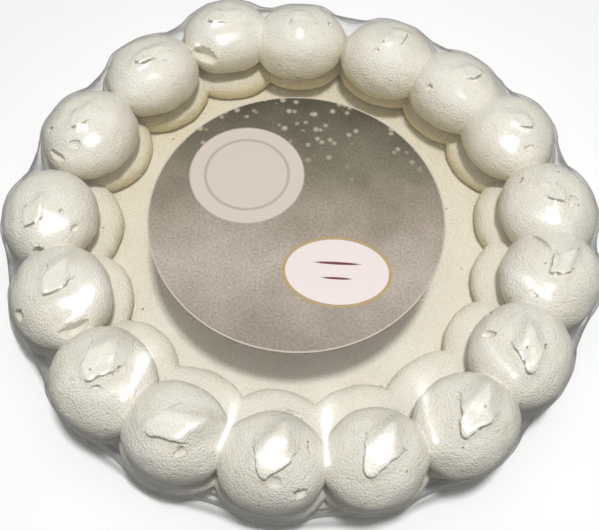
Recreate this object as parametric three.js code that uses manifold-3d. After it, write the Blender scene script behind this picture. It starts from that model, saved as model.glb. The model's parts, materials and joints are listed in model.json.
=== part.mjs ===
// A shop-bought pavlova base: a baked meringue nest in clear shrink film, with a round card on top.
// Millimetres and degrees, +Z up. The nest stands on its flat underside and its front faces -Y.

import * as THREE from 'three';
import { ConvexGeometry } from 'three/addons/geometries/ConvexGeometry.js';
import { mergeVertices } from 'three/addons/utils/BufferGeometryUtils.js';
import Module from 'manifold-3d';

// ---------- Driving dimensions ----------

const NEST = {
  ringRadius: 101,       // middle of the nest to the middle of an upper mound
  firstAzimuth: 94,      // where the back mound stands, counter-clockwise from +X
};

const DISC = {
  radius: 120,
  thickness: 8,
  edgeRound: 3.5,
  back: 12,              // the disc and the lower mounds sit this far behind the upper ring
  sides: 48,
};

const LOWER = {
  ringRadius: 103.5,
  turn: 4,               // how far each lower mound is turned forward to carry its upper one
  radius: 25,
  halfHeight: 8.5,
  middle: 12.5,          // height of its widest place
  fullness: 0.88,        // 1 is an ellipse, less is squarer
  sides: 11,
  rings: 5,
};

const UPPER = {
  halfHeight: 12.5,
  middle: 31,
  fullness: 0.85,
  sides: 16,
  rings: 7,
};

// The seventeen upper mounds, clockwise from the back. A mound stands turn degrees and out millimetres
// off its even place. Its beak, the bent tip left by the piping nozzle, lies along the compass angle
// beakTo, and reach is how far from the mound's middle it ends.
const MOUNDS = [
  { turn: -1, out: -1, radius: 21.5, beakTo: 95, reach: 6 },
  { turn: -4, out: -2, radius: 22, beakTo: 30, reach: 9 },
  { turn: -3, out: -1, radius: 22, beakTo: 5, reach: 10 },
  { turn: 0, out: 1, radius: 22, beakTo: -20, reach: 8 },
  { turn: -1, out: 2, radius: 22, beakTo: -40, reach: 4 },
  { turn: 2.5, out: 0.5, radius: 22, beakTo: -140, reach: 6 },
  { turn: 3, out: -1, radius: 21.5, beakTo: -92, reach: 11 },
  { turn: 3.5, out: 1, radius: 20.5, beakTo: -115, reach: 9 },
  { turn: 4, out: -2, radius: 20, beakTo: -110, reach: 9 },
  { turn: 3.5, out: -3.5, radius: 20, beakTo: -102, reach: 9 },
  { turn: 3, out: -4, radius: 20.5, beakTo: -160, reach: 9 },
  { turn: 4, out: -2, radius: 21.5, beakTo: -120, reach: 5 },
  { turn: 2, out: -3, radius: 22, beakTo: -115, reach: 5 },
  { turn: 2, out: 0, radius: 21.5, beakTo: -117, reach: 12 },
  { turn: -1.5, out: 0, radius: 22, beakTo: -119, reach: 8 },
  { turn: -3.5, out: 2, radius: 22, beakTo: -140, reach: 7 },
  { turn: -4, out: 7, radius: 21, beakTo: -157, reach: 8 },
];

const BEAK = {
  halfWidth: 7.5,        // its two edges spread this far either side, this far behind the tip
  length: 15,            // from its tip back to where it runs into the mound's top
  lift: 1.8,             // its tip stands this far off the mound
  undercut: 1.5,         // the tip overhangs by this much
  root: 5,               // depth of its root inside the mound
  spread: 4,             // to carry the film clear of it, it grows this much faster than the mound
  rise: 1.5,             // and its tip rises this much faster
};

// Scars in the crust. Each lies on an upper mound, at a compass angle round it and a slope above its
// widest place; size is its half-length along the crust, half-height and half-depth.
const SCARS = [
  { mound: 16, compass: -112, slope: -22, size: [8, 3.5, 4] },
  { mound: 12, compass: 190, slope: 5, size: [2.2, 2.2, 1.6] },
  { mound: 12, compass: -72, slope: -8, size: [6, 4, 4] },
  { mound: 9, compass: -75, slope: 25, size: [2.4, 1.8, 1.5] },
  { mound: 9, compass: -55, slope: 8, size: [2.2, 1.6, 1.4] },
  { mound: 6, compass: 175, slope: 20, size: [1.8, 3, 1.5] },
];

const FILM = {
  gap: 1.5,              // it stops this far off the crust, so that its facets clear it too
  thickness: 0.4,
  columnsPerMound: 5,
  shoulderSlopes: [25, 47, 68, 90],  // rows over the shoulder, to the ring's crest at 90
  topRows: 2,            // from the crest to the card's rim
  drum: 40.6,            // height of its flat middle, which carries the card
  reach: 60,             // it starts this far out from the ring before it shrinks
  hem: 1.5,              // height of its open lower rim, tucked round the disc's edge
  hemGap: 1,
  shrinkSteps: 400,
};

const CARD = {
  radius: 59.5,
  thickness: 0.5,
  centre: [-1.6, -0.8],
  gap: 0.3,              // between it and the film that it lies on
  rim: 1.5,              // the film lies flat this far round the card
  sides: 64,
};

const CRUST_COLOUR = 0xe6e1d3;
const FILM_COLOUR = 0xf4f6f7;
const CARD_COLOUR = 0xa08d80;

// ---------- Helpers ----------

const wasm = await Module();
wasm.setup();

const radians = THREE.MathUtils.degToRad;
const MOUND_STEP = 360 / MOUNDS.length;
const UP = new THREE.Vector3(0, 0, 1);

function polar(azimuth, radius, height) {
  const angle = radians(azimuth);
  return new THREE.Vector3(radius * Math.cos(angle), radius * Math.sin(angle), height);
}

function welded(geometry) {
  const bare = geometry.clone();
  bare.deleteAttribute('normal');
  bare.deleteAttribute('uv');
  return mergeVertices(bare, 1e-4);
}

function toSolid(geometry) {
  const { attributes, index } = welded(geometry);
  const vertProperties = new Float32Array(attributes.position.array);
  const triVerts = new Uint32Array(index.array);
  return new wasm.Manifold(new wasm.Mesh({ numProp: 3, vertProperties, triVerts }));
}

function fromSolid(solid) {
  const { vertProperties, triVerts } = solid.getMesh();
  const geometry = new THREE.BufferGeometry();
  geometry.setAttribute('position', new THREE.BufferAttribute(new Float32Array(vertProperties), 3));
  geometry.setIndex(new THREE.BufferAttribute(new Uint32Array(triVerts), 1));
  return geometry;
}

function named(name, geometry, material) {
  geometry.computeVertexNormals();
  const mesh = new THREE.Mesh(geometry, material);
  mesh.name = name;
  return mesh;
}

// ---------- The meringue ----------

// A piped mound stands on its own axis: a superellipse turned round it, from its foot to its top.
function moundProfile({ radius, halfHeight, fullness, rings }) {
  return Array.from({ length: rings + 1 }, (_, i) => {
    const angle = -Math.PI / 2 + (Math.PI * i) / rings;
    const across = i === 0 || i === rings ? 0 : Math.cos(angle) ** fullness;
    const along = Math.sign(Math.sin(angle)) * Math.abs(Math.sin(angle)) ** fullness;
    return new THREE.Vector2(radius * across, halfHeight * along);
  });
}

function moundGeometry(form) {
  return new THREE.LatheGeometry(moundProfile(form), form.sides).rotateX(Math.PI / 2);
}

// Height of an upper mound's dome above its widest place, at a distance from its axis.
function domeHeight(distance, radius) {
  const share = Math.min(1, distance / radius) ** (2 / UPPER.fullness);
  return UPPER.halfHeight * (1 - share) ** (UPPER.fullness / 2);
}

// The beak is a pointed tongue. Its root and its two shoulders lie flush in the dome, and only its
// tip stands clear of it.
function beakGeometry({ radius, beakTo, reach }, grown) {
  const onDome = (x, y, lift) => {
    const height = domeHeight(Math.hypot(x, y), radius) + lift + grown;
    return new THREE.Vector3(x, y, height);
  };
  const tip = new THREE.Vector3(reach + BEAK.spread * grown, 0, domeHeight(reach, radius));
  tip.z += BEAK.lift + BEAK.rise * grown;
  const halfWidth = BEAK.halfWidth + BEAK.spread * grown;
  const shoulder = reach - BEAK.halfWidth;
  const points = [
    tip,
    onDome(tip.x - BEAK.undercut, 0, 0),
    onDome(reach - BEAK.length, 0, 0),
    onDome(shoulder, 0, -BEAK.root),
    onDome(shoulder, -halfWidth, 0),
    onDome(shoulder, halfWidth, 0),
  ];
  return new ConvexGeometry(points).rotateZ(radians(beakTo));
}

function moundAzimuth(mound, number) {
  return NEST.firstAzimuth - MOUND_STEP * number + mound.turn;
}

function upperCentre(mound, number) {
  return polar(moundAzimuth(mound, number), NEST.ringRadius + mound.out, UPPER.middle);
}

// Each lower mound stands on the disc, whose middle lies behind the upper ring's.
function lowerCentre(mound, number) {
  const azimuth = moundAzimuth(mound, number);
  const turned = azimuth - LOWER.turn * Math.cos(radians(azimuth));
  return polar(turned, LOWER.ringRadius, LOWER.middle).add(new THREE.Vector3(0, DISC.back, 0));
}

function discGeometry(grown) {
  const radius = DISC.radius + grown;
  const top = DISC.thickness + grown;
  const round = DISC.edgeRound;
  const outline = new THREE.Path();
  outline.moveTo(0, 0);
  outline.lineTo(radius - round, 0);
  outline.quadraticCurveTo(radius, 0, radius, round);
  outline.lineTo(radius, top - round);
  outline.quadraticCurveTo(radius, top, radius - round, top);
  outline.lineTo(0, top);
  const geometry = new THREE.LatheGeometry(outline.getPoints(2), DISC.sides).rotateX(Math.PI / 2);
  return geometry.translate(0, DISC.back, 0);
}

// Every form of the nest, before they are joined. grown thickens each one by that much all round.
function nestForms(grown) {
  const forms = [discGeometry(grown)];
  MOUNDS.forEach((mound, number) => {
    const upper = { ...UPPER, radius: mound.radius + grown, halfHeight: UPPER.halfHeight + grown };
    const lower = { ...LOWER, radius: LOWER.radius + grown, halfHeight: LOWER.halfHeight + grown };
    const upperPlace = upperCentre(mound, number);
    forms.push(moundGeometry(lower).translate(...lowerCentre(mound, number)));
    forms.push(moundGeometry(upper).translate(...upperPlace));
    forms.push(beakGeometry(mound, grown).translate(...upperPlace));
  });
  return forms;
}

function scarGeometry({ mound, compass, slope, size }) {
  const { radius } = MOUNDS[mound];
  const outward = polar(compass, Math.cos(radians(slope)), Math.sin(radians(slope)));
  const onCrust = outward.clone().multiply(new THREE.Vector3(radius, radius, UPPER.halfHeight));
  const across = new THREE.Vector3().crossVectors(UP, outward).normalize();
  const rise = new THREE.Vector3().crossVectors(outward, across);
  const frame = new THREE.Matrix4().makeBasis(across, rise, outward);
  const geometry = new THREE.IcosahedronGeometry(1, 1).scale(...size).applyMatrix4(frame);
  return geometry.translate(...onCrust.add(upperCentre(MOUNDS[mound], mound)));
}

function nestGeometry() {
  const solids = nestForms(0).map(toSolid);
  let nest = solids[0];
  for (const solid of solids.slice(1)) {
    nest = nest.add(solid);
  }
  for (const scar of SCARS) {
    nest = nest.subtract(toSolid(scarGeometry(scar)));
  }
  return fromSolid(nest);
}

// ---------- The film ----------

// Compass angles of the film's columns, so many for each mound, clockwise from the back one.
function columnAzimuths() {
  const azimuths = MOUNDS.map((mound, number) => moundAzimuth(mound, number));
  return azimuths.flatMap((azimuth, number) => {
    const next = number + 1 < azimuths.length ? azimuths[number + 1] : azimuths[0] - 360;
    const shares = Array.from({ length: FILM.columnsPerMound }, (_, i) => i / FILM.columnsPerMound);
    return shares.map((share) => azimuth + share * (next - azimuth));
  });
}

// The heights of a mound's flank: where its profile has corners, between its foot and its shoulder.
function flankHeights(form) {
  const corners = moundProfile({ ...form, radius: 1 });
  const flank = corners.filter(({ x, y }) => x > 0 && y < form.halfHeight / 2);
  return flank.map(({ y }) => form.middle + y);
}

// The side rows lie level with those corners, so that the film's facets run alongside the crust's.
// What lies below the crease between the tiers belongs to the lower mounds.
function sideHeights() {
  const crease = (LOWER.middle + UPPER.middle) / 2;
  return [...flankHeights(LOWER), ...flankHeights(UPPER).filter((height) => height > crease)];
}

// A point of the film may slide only along its own line, from its start towards the nest.
function sideLine(azimuth, height) {
  const start = polar(azimuth, NEST.ringRadius + FILM.reach, height);
  return { start, inward: polar(azimuth, -1, 0) };
}

function shoulderLine(azimuth, slope) {
  const outward = polar(azimuth, Math.cos(radians(slope)), Math.sin(radians(slope)));
  const start = polar(azimuth, NEST.ringRadius, UPPER.middle).addScaledVector(outward, FILM.reach);
  return { start, inward: outward.negate() };
}

// The last of the top lines ends the shrinking film on the flat that carries the card.
function topLine(azimuth, share) {
  const rim = CARD.radius + CARD.rim;
  const radius = NEST.ringRadius + share * (rim - NEST.ringRadius);
  const start = polar(azimuth, radius, UPPER.middle + FILM.reach);
  const inward = UP.clone().negate();
  if (share < 1) {
    return { start, inward };
  }
  const fixed = polar(azimuth, rim, FILM.drum).add(new THREE.Vector3(...CARD.centre, 0));
  return { start, inward, fixed };
}

function filmLines(azimuths) {
  const topShares = Array.from({ length: FILM.topRows }, (_, row) => (row + 1) / FILM.topRows);
  const sections = [
    [sideHeights(), sideLine],
    [FILM.shoulderSlopes, shoulderLine],
    [topShares, topLine],
  ];
  return sections.flatMap(([rows, line]) => (
    rows.flatMap((row) => azimuths.map((azimuth) => line(azimuth, row)))
  ));
}

// How far a point may slide before it meets the crust, there or half a column to either side, so that
// the flat facets between the columns stay clear of it too.
function slideLimit({ start, inward }, crust) {
  const halfColumn = radians(MOUND_STEP / FILM.columnsPerMound / 2);
  const distances = [-halfColumn, 0, halfColumn].map((turn) => {
    const from = start.clone().applyAxisAngle(UP, turn);
    const caster = new THREE.Raycaster(from, inward.clone().applyAxisAngle(UP, turn));
    const hits = caster.intersectObjects(crust);
    return hits.length ? hits[0].distance : Infinity;
  });
  return Math.min(...distances);
}

// Shrinks the film on to the nest: every point moves to the middle of its neighbours, as a stretched
// skin does, and stops where it meets the crust.
function shrunkFilm() {
  const azimuths = columnAzimuths();
  const columns = azimuths.length;
  const lines = filmLines(azimuths);
  const crust = nestForms(FILM.gap).map((form) => new THREE.Mesh(form));
  const limits = lines.map((line) => slideLimit(line, crust));
  const hem = azimuths.map(hemPoint);
  const places = [...hem, ...lines.map(({ start, fixed }) => fixed ?? start.clone())];
  const middle = new THREE.Vector3();
  for (let step = 0; step < FILM.shrinkSteps; step += 1) {
    lines.forEach(({ start, inward, fixed }, number) => {
      if (fixed) {
        return;
      }
      const here = number + columns;
      const rowStart = here - (here % columns);
      const left = places[rowStart + ((here + columns - 1) % columns)];
      const right = places[rowStart + ((here + 1) % columns)];
      middle.copy(left).add(right).add(places[here - columns]).add(places[here + columns]);
      const slide = middle.divideScalar(4).sub(start).dot(inward);
      places[here].copy(start).addScaledVector(inward, Math.min(slide, limits[number]));
    });
  }
  const outwards = lines.map(({ inward }) => inward.clone().negate());
  return { places, outwards, columns };
}

// The hem lies just outside the rounded lower edge of the disc.
function hemPoint(azimuth) {
  const hem = polar(azimuth, DISC.radius + FILM.hemGap, FILM.hem);
  return hem.add(new THREE.Vector3(0, DISC.back, 0));
}

// The film as a thin closed skin: the shrunk surface, the same surface again a thickness further
// out, and a strip that joins them round the hem.
function filmGeometry() {
  const { places, outwards, columns } = shrunkFilm();
  const hemOutwards = columnAzimuths().map((azimuth) => polar(azimuth, 1, 0));
  const middle = new THREE.Vector3(...CARD.centre, FILM.drum);
  const inner = [...places, middle];
  const directions = [...hemOutwards, ...outwards, UP];
  const outer = inner.map((place, i) => place.clone().addScaledVector(directions[i], FILM.thickness));
  const faces = [];
  const both = (a, b, c) => {
    faces.push(a, b, c);
    faces.push(a + inner.length, c + inner.length, b + inner.length);
  };
  const rimStart = places.length - columns;
  for (let column = 0; column < columns; column += 1) {
    const next = (column + 1) % columns;
    for (let row = 0; row < rimStart; row += columns) {
      both(row + column, row + next, row + column + columns);
      both(row + next, row + next + columns, row + column + columns);
    }
    both(rimStart + column, rimStart + next, places.length);
    faces.push(column, column + inner.length, next);
    faces.push(next, column + inner.length, next + inner.length);
  }
  const geometry = new THREE.BufferGeometry();
  const numbers = [...inner, ...outer].flatMap((place) => place.toArray());
  geometry.setAttribute('position', new THREE.Float32BufferAttribute(numbers, 3));
  geometry.setIndex(faces);
  return geometry;
}

// ---------- The card ----------

function cardGeometry() {
  const card = new THREE.CylinderGeometry(CARD.radius, CARD.radius, CARD.thickness, CARD.sides);
  const height = FILM.drum + FILM.thickness + CARD.gap + CARD.thickness / 2;
  return welded(card.rotateX(Math.PI / 2).translate(...CARD.centre, height));
}

// ---------- The whole ----------

function crustMaterial() {
  return new THREE.MeshStandardMaterial({ color: CRUST_COLOUR, roughness: 0.9, metalness: 0 });
}

function filmMaterial() {
  const look = { color: FILM_COLOUR, roughness: 0.08, metalness: 0, transparent: true, opacity: 0.3 };
  return new THREE.MeshStandardMaterial(look);
}

function cardMaterial() {
  return new THREE.MeshStandardMaterial({ color: CARD_COLOUR, roughness: 0.55, metalness: 0 });
}

const pavlova = new THREE.Group();
pavlova.name = 'pavlova';
pavlova.add(named('meringue', nestGeometry(), crustMaterial()));
pavlova.add(named('film', filmGeometry(), filmMaterial()));
pavlova.add(named('card', cardGeometry(), cardMaterial()));

// The whole stands with the middle of its footprint over the origin.
const middle = new THREE.Box3().setFromObject(pavlova).getCenter(new THREE.Vector3());
pavlova.position.set(-middle.x, -middle.y, 0);

export default pavlova;
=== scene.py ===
# %% [markdown]
# # A pavlova base in shrink film
#
# A shop-bought pavlova base is a meringue nest. A flat disc is piped first, then a ring of round
# mounds on its edge, then a second ring on top of those. It is dried in a cool oven, sealed in clear
# shrink film, and a round printed card goes on the film over the well. Here are made the nest with
# its beaks and pits, the film as a skin that shrinks on to it, the card, the light and the camera.
#
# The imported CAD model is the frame: it gives the size and the place of everything.

import json
import math

import bpy
import numpy as np
from mathutils import Matrix, Vector
from mathutils.bvhtree import BVHTree

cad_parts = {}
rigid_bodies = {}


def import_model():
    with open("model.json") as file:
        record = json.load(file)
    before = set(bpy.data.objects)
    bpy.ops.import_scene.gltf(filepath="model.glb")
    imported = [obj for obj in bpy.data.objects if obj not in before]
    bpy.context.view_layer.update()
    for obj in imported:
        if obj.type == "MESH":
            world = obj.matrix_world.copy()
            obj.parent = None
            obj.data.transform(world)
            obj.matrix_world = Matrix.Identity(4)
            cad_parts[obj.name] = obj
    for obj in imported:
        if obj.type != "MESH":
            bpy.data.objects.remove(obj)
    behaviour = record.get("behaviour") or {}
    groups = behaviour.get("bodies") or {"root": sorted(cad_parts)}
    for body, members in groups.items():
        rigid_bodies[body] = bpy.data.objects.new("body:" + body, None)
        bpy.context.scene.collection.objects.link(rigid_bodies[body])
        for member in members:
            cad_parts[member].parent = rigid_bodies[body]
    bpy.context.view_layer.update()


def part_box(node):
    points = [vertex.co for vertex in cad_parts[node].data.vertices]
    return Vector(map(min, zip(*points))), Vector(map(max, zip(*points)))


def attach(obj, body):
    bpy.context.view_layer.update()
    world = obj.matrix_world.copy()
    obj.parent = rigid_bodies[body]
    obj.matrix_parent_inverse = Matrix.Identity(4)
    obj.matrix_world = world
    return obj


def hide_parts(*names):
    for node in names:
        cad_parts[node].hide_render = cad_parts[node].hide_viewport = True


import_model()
MM = 0.001

# %% [markdown]
# ## Sizes
#
# The sizes start from those of the CAD model, in millimetres, so that every form lies where its
# solid does. Only the mounds differ a little: they are rounder, and the upper ones lean. Places are
# counted from the middle of the upper ring, on the surface that the nest stands on. The card's box in
# the frame tells where that middle is.

# %% Driving sizes in millimetres and degrees
RING_RADIUS = 101.0
FIRST_AZIMUTH = 94.0
DISC = {"radius": 120.0, "thickness": 8.0, "edge_round": 3.5, "back": 12.0}
LOWER = {
    "ring_radius": 102.5, "turn": 4.0, "radius": 25.4, "half_height": 8.5, "middle": 12.5,
    "fullness": 0.86,
}
# Depth is a mound's width towards the ring's middle, as a share of its width along the ring. Out is
# how far out the far mounds are set. The near ones lean by up to so many degrees, towards the compass
# angle lean_to.
UPPER = {
    "half_height": 15.5, "underside": 9.5, "middle": 28.0, "fullness": 0.94,
    "depth": 0.91, "out": 2.0, "lean": 7.0, "lean_to": -100.0,
}
CARD = {"radius": 59.5, "centre": (-1.6, -0.8), "bottom": 41.3, "thickness": 0.5}

# Each upper mound, clockwise from the back: turn and out, its distance from its even place; its
# radius; the compass angle that its beak points to, and how far from its middle the beak ends.
MOUNDS = np.array([
    (-1, -1, 21.5, 95, 6), (-4, -2, 22, 30, 9), (-3, -1, 22, 5, 10), (0, 1, 22, -20, 8),
    (-1, 2, 22, -40, 4), (2.5, 0.5, 22, -140, 6), (3, -1, 21.5, -92, 11), (3.5, 1, 20.5, -115, 9),
    (4, -2, 20, -110, 9), (3.5, -3.5, 20, -102, 9), (3, -4, 20.5, -160, 9), (4, -2, 21.5, -120, 5),
    (2, -3, 22, -115, 5), (2, 0, 21.5, -117, 12), (-1.5, 0, 22, -119, 8), (-3.5, 2, 22, -140, 7),
    (-4, 7, 21, -157, 8),
])
COUNT = len(MOUNDS)
card_low, card_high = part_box("card")
RING_MIDDLE = np.array([
    (card_low.x + card_high.x) / 2 / MM - CARD["centre"][0],
    (card_low.y + card_high.y) / 2 / MM - CARD["centre"][1],
    0.0,
])
print(COUNT, "mounds, ring's middle at", RING_MIDDLE.round(2))

# %% Places
def polar(azimuth, radius, height=0.0):
    """A point at a compass angle in degrees round the ring's middle."""
    angle = math.radians(azimuth)
    return np.array([radius * math.cos(angle), radius * math.sin(angle), height])


def in_frame(points):
    """Points in millimetres from the ring's middle, as metres in the frame."""
    return (np.asarray(points) + RING_MIDDLE) * MM


def smooth_step(low, high, values):
    """0 below low, 1 above high, an S between."""
    share = np.clip((values - low) / (high - low), 0, 1)
    return share * share * (3 - 2 * share)


def mound_turn(centre):
    """The turn of an upper mound: its X axis outwards, and the nearer ones leaning forwards."""
    amount = UPPER["lean"] * (0.5 - 0.5 * centre[1] / RING_RADIUS)
    across = Vector((0, 0, 1)).cross(Vector(polar(UPPER["lean_to"], 1.0)))
    outwards = Matrix.Rotation(math.atan2(centre[1], centre[0]), 3, "Z")
    return Matrix.Rotation(math.radians(amount), 3, across) @ outwards


def mound_shape(centre):
    """The matrix, for rows of points, that shapes a round dome into this mound."""
    outwards = Matrix.Rotation(math.atan2(centre[1], centre[0]), 3, "Z")
    narrower = Matrix.Diagonal((UPPER["depth"], 1, 1))
    return np.array(mound_turn(centre) @ narrower @ outwards.transposed()).T


azimuths = FIRST_AZIMUTH - 360 / COUNT * np.arange(COUNT) + MOUNDS[:, 0]
upper_out = UPPER["out"] * (1 - smooth_step(0, 1, -np.sin(np.radians(azimuths))))
upper_centres = np.array([
    polar(azimuth, RING_RADIUS + out, UPPER["middle"])
    for azimuth, out in zip(azimuths, MOUNDS[:, 1] + upper_out)
])
lower_turned = azimuths - LOWER["turn"] * np.cos(np.radians(azimuths))
lower_centres = np.array([
    polar(azimuth, LOWER["ring_radius"], LOWER["middle"]) for azimuth in lower_turned
]) + (0, DISC["back"], 0)
print("upper mounds at", upper_centres[0].round(1), "to", upper_centres[-1].round(1))

# %% [markdown]
# ## Helpers
#
# One function turns a hex colour to the linear values that Blender works in. One adds a node with
# its settings and links, and the next four add the nodes that are needed most. One makes an object
# from points in millimetres. The last two list the faces of a grid that is rolled into a tube, open
# or with its ends closed.

# %% Helpers
def linear(hex_code):
    """An sRGB hex colour as linear RGBA."""
    channels = [int(hex_code[i:i + 2], 16) / 255 for i in (1, 3, 5)]
    return [c / 12.92 if c <= 0.04045 else ((c + 0.055) / 1.055) ** 2.4 for c in channels] + [1.0]


def add(tree, kind, inputs=(), **settings):
    """A new node. Inputs are values, or sockets of other nodes to link from."""
    node = tree.nodes.new(kind)
    for name, value in settings.items():
        setattr(node, name, value)
    for socket, value in dict(inputs).items():
        if isinstance(value, bpy.types.NodeSocket):
            tree.links.new(value, node.inputs[socket])
        else:
            node.inputs[socket].default_value = value
    return node


def maths(tree, operation, *values, **settings):
    """The result of a Math node."""
    node = add(tree, "ShaderNodeMath", dict(enumerate(values)), operation=operation, **settings)
    return node.outputs[0]


def vector_maths(tree, operation, first, second=None):
    """The result of a Vector Math node, which is a number for a length."""
    inputs = {0: first}
    if second is not None:
        inputs["Scale" if operation == "SCALE" else 1] = second
    node = add(tree, "ShaderNodeVectorMath", inputs, operation=operation)
    return node.outputs["Value" if operation == "LENGTH" else "Vector"]


def remapped(tree, value, low, high, to_low=0.0, to_high=1.0, kind="LINEAR"):
    """A number taken from one range to another, and held within it."""
    return add(tree, "ShaderNodeMapRange", {
        "Value": value, "From Min": low, "From Max": high, "To Min": to_low, "To Max": to_high,
    }, interpolation_type=kind).outputs[0]


def mixed(tree, share, under, over, **settings):
    """Two colours mixed, all under at 0 and all over at 1."""
    return add(tree, "ShaderNodeMix", {"Factor": share, "A": under, "B": over},
               data_type="RGBA", **settings).outputs["Result"]


def make_object(name, points, faces, collection=None):
    """An object at the origin, from points in millimetres round the ring's middle."""
    mesh = bpy.data.meshes.new(name)
    mesh.from_pydata(in_frame(points).tolist(), [], faces)
    mesh.validate()
    obj = bpy.data.objects.new(name, mesh)
    (collection or bpy.context.scene.collection).objects.link(obj)
    return obj


def closed_grid(rows, columns):
    """Quads of a grid whose columns close in a ring, rows one after the other."""
    return [
        (row * columns + c, row * columns + (c + 1) % columns,
         (row + 1) * columns + (c + 1) % columns, (row + 1) * columns + c)
        for row in range(rows - 1) for c in range(columns)
    ]


def capped_grid(rows, columns):
    """The same, closed by fans to two points that come last: the lower end's, then the upper's."""
    top_row, below = (rows - 1) * columns, rows * columns
    faces = closed_grid(rows, columns)
    faces += [((c + 1) % columns, c, below) for c in range(columns)]
    faces += [(top_row + c, top_row + (c + 1) % columns, below + 1) for c in range(columns)]
    return faces

# %% [markdown]
# ## The meringue's surface
#
# Meringue is egg white whipped with sugar and dried. Its skin is matt and dry, with a grain of fine
# bubbles, and larger bubbles leave pinholes in it. Sugar browns a little where the mix is thin and
# warm, so the disc is cream yellow and the mounds are nearly white. Low down, in the creases and on
# steep faces it is made more cream still, which is painted warm shade, and the front is painted
# whiter, which is painted light. Light goes a little way into the foam, which softens every shadow
# on it. The grain and the pinholes are bump, because they are far finer than the mesh, and their
# hollows are drawn darker, which is painted shade.

# %% Material: baked meringue
CRUST_WHITE = "#f3f2ec"
CRUST_CREAM = "#e9ddb9"
PINHOLE_SHADE_BROWN = "#c4b494"
PINHOLE_SPACING_MM = 9.0
# The real grain is near 0.5 mm, too fine to show from a step away, so it is drawn this coarse.
GRAIN_MM = 0.8
LUMP_MM = 6.0
PATCH_MM = 14.0
BUMP_DEPTHS_MM = {"grain": 0.4, "lumps": 0.9, "pinholes": 0.6}
LIGHT_DEPTH_MM = 3.0
# It is cream below the first height and within the first radius, and white above and beyond the
# second ones: the disc's own cream, with painted warm shade low down and in the creases. Towards the
# front, from the second depth to the first, it is painted whiter, which is painted light.
CREAM_HEIGHTS_MM, CREAM_RADII_MM, PAINTED_FRONT_LIGHT_DEPTHS_MM = (12.0, 46.0), (78.0, 104.0), (-100.0, 30.0)


def cream_and_painted_shade_share(tree, place):
    """How cream the crust is: its own cream in the well, painted warm shade where it is low and
    steep, and a front painted whiter.
    """
    axes = add(tree, "ShaderNodeSeparateXYZ", {0: place}).outputs
    middle = (RING_MIDDLE + (0, DISC["back"], 0)) * MM
    flat = vector_maths(
        tree, "MULTIPLY", vector_maths(tree, "SUBTRACT", place, middle), (1, 1, 0))
    facing = add(tree, "ShaderNodeNewGeometry").outputs["Normal"]
    upwards = add(tree, "ShaderNodeSeparateXYZ", {0: facing}).outputs["Z"]
    heights, radii, depths = (
        [edge * MM for edge in edges]
        for edges in (CREAM_HEIGHTS_MM, CREAM_RADII_MM, PAINTED_FRONT_LIGHT_DEPTHS_MM)
    )
    # Low down it is more cream: the disc's own colour, and painted warm shade in the creases.
    cream = remapped(tree, axes["Z"], *heights, 1, 0, "SMOOTHSTEP")
    for part in (
        remapped(tree, vector_maths(tree, "LENGTH", flat), *radii, 1, 0.15, "SMOOTHSTEP"),
        # Steep faces are more cream: painted warm shade.
        remapped(tree, upwards, 0.2, 0.95, 1, 0.4, "SMOOTHSTEP"),
        # Towards the front it is whiter: painted light.
        remapped(tree, axes["Y"], *depths, 0.2, 1),
    ):
        cream = maths(tree, "MULTIPLY", cream, part)
    patches = add(tree, "ShaderNodeTexNoise", {
        "Vector": place, "Scale": 1 / (PATCH_MM * MM), "Detail": 4,
    })
    mottle = remapped(tree, patches.outputs["Fac"], 0.35, 0.75, 0, 0.2)
    return maths(tree, "ADD", cream, mottle, use_clamp=True)


def baked_meringue():
    """Whipped, piped and dried: matt, grainy, with pinholes, cream yellow down in the well, with
    painted shade in its creases and hollows and a front painted whiter.
    """
    material = bpy.data.materials.new("baked_meringue_piped_and_dried")
    material.use_nodes = True
    tree = material.node_tree
    surface = tree.nodes["Principled BSDF"]
    place = add(tree, "ShaderNodeTexCoord").outputs["Object"]
    crust = mixed(tree, cream_and_painted_shade_share(tree, place), linear(CRUST_WHITE), linear(CRUST_CREAM))
    cells = add(tree, "ShaderNodeTexVoronoi", {
        "Vector": place, "Scale": 1 / (PINHOLE_SPACING_MM * MM), "Randomness": 1.0,
    })
    holes = remapped(tree, cells.outputs["Distance"], 0.03, 0.065, kind="SMOOTHSTEP")
    # Inside each pinhole the crust is brown: painted shade in the hollow.
    pitted = mixed(tree, holes, linear(PINHOLE_SHADE_BROWN), crust)

    grain = add(tree, "ShaderNodeTexVoronoi", {
        "Vector": place, "Scale": 1 / (GRAIN_MM * MM), "Smoothness": 0.4,
    }, feature="SMOOTH_F1").outputs["Distance"]
    lumps = add(tree, "ShaderNodeTexNoise", {
        "Vector": place, "Scale": 1 / (LUMP_MM * MM), "Detail": 1,
    }).outputs["Fac"]
    # Between the grains, where the bump dips, the crust is darker and yellower: painted shade.
    between = remapped(tree, grain, 0.2, 0.8, 0, 0.35)
    grainy = mixed(tree, between, pitted, linear(CRUST_CREAM), blend_type="MULTIPLY")
    tree.links.new(grainy, surface.inputs["Base Color"])
    below = {}
    for name, height, strength in (
        ("grain", grain, 1.0), ("lumps", lumps, 0.5), ("pinholes", holes, 0.9),
    ):
        bumps = add(tree, "ShaderNodeBump", {
            "Height": height, "Distance": BUMP_DEPTHS_MM[name] * MM, "Strength": strength, **below,
        }, invert=name == "grain")
        below = {"Normal": bumps.outputs[0]}
    tree.links.new(bumps.outputs[0], surface.inputs["Normal"])
    for name, value in {
        "Roughness": 0.92, "Specular IOR Level": 0.2, "Subsurface Weight": 0.15,
        "Subsurface Radius": (1.0, 0.85, 0.6), "Subsurface Scale": LIGHT_DEPTH_MM * MM,
    }.items():
        surface.inputs[name].default_value = value
    return material


MERINGUE = baked_meringue()
print("made", MERINGUE.name)

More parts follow.
